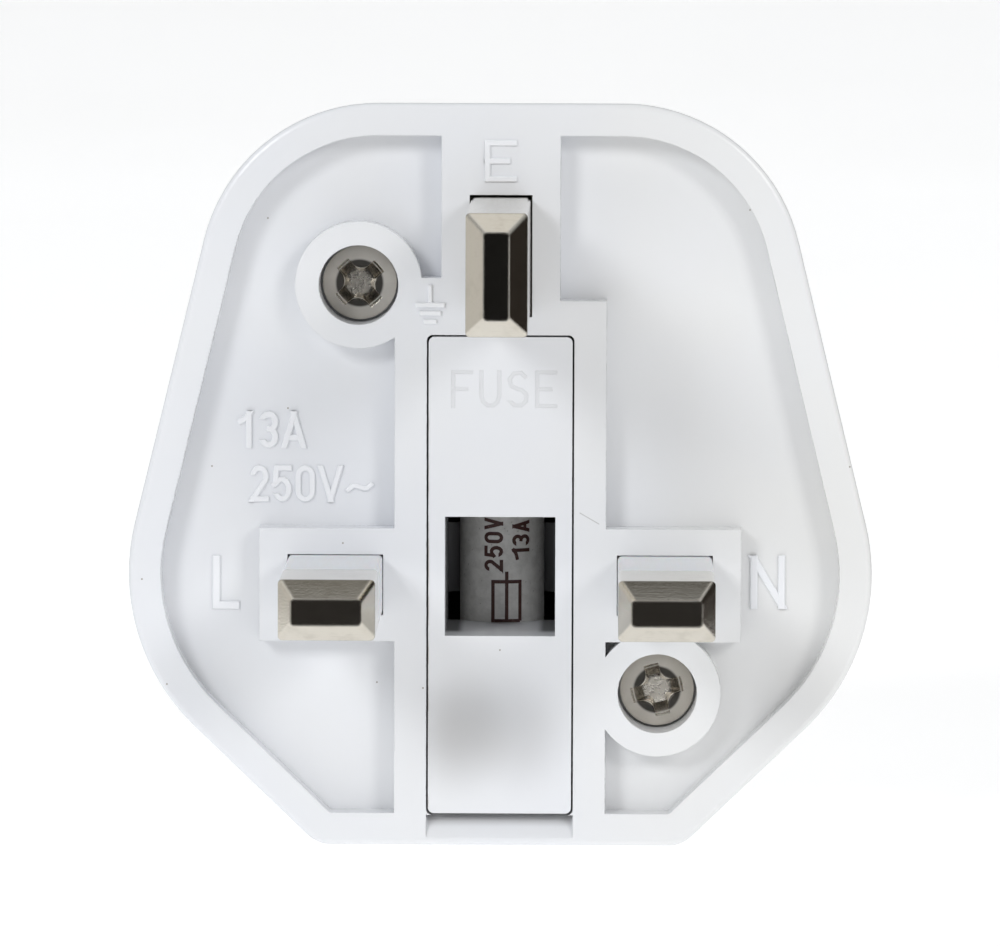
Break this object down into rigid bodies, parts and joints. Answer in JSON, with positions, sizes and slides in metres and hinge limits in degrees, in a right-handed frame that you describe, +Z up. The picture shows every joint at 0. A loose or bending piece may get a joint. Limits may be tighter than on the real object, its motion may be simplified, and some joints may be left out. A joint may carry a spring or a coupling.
{
  "type": "travel adapter plug",
  "caption": "White three-pin travel adapter with a slide-out fuse carrier, recessed screws and a shuttered outlet on its far side.",
  "frame": {"origin": "middle of the line between the live and neutral pins, on the face that meets the wall socket", "axes": "+X to the right seen from the pin side, +Z up towards the earth pin, the pins point along -Y and the outlet faces +Y"},
  "size_m": [0.0502, 0.0517, 0.0502],
  "materials": {
    "housing_white": "glossy moulded cool-white plastic",
    "carrier_white": "satin-gloss moulded cool-white plastic",
    "sleeve_white": "satin moulded white insulation",
    "pin_nickel": "bright nickel plate on brass",
    "screw_nickel": "nickel-plated steel, a little scuffed",
    "fuse_ceramic": "unglazed off-white ceramic with brown print",
    "fuse_cap_metal": "nickel-plated drawn caps",
    "contact_brass": "bright spring brass",
    "plate_grey": "matt moulded insulating plastic",
    "shutter_white": "satin moulded white plastic",
    "spring_steel": "bright drawn spring wire"
  },
  "bodies": {
    "housing": {"base_housing": "housing_white", "socket_housing": "housing_white", "live_pin": "pin_nickel", "neutral_pin": "pin_nickel", "earth_pin": "pin_nickel", "live_pin_sleeve": "sleeve_white", "neutral_pin_sleeve": "sleeve_white", "housing_screw_upper": "screw_nickel", "housing_screw_lower": "screw_nickel", "line_fuse_clip": "contact_brass", "load_fuse_clip": "contact_brass", "live_contact": "contact_brass", "neutral_contact": "contact_brass", "earth_contact": "contact_brass", "contact_plate": "plate_grey", "shutter_spring": "spring_steel"},
    "fuse_drawer": {"fuse_carrier": "carrier_white", "fuse_body": "fuse_ceramic", "fuse_cap_upper": "fuse_cap_metal", "fuse_cap_lower": "fuse_cap_metal"},
    "outlet_shutter": {"shutter": "shutter_white"}
  },
  "joints": [
    {"name": "fuse_carrier_slide", "type": "slide", "parent": "housing", "child": "fuse_drawer", "axis": [0, -1, 0], "range_m": [0, 0.012]},
    {"name": "shutter_slide", "type": "slide", "parent": "housing", "child": "outlet_shutter", "axis": [0, 0, -1], "range_m": [0, 0.0077], "stiffness_N_per_m": 60, "springref_m": -0.003, "deforming": ["shutter_spring"]}
  ]
}
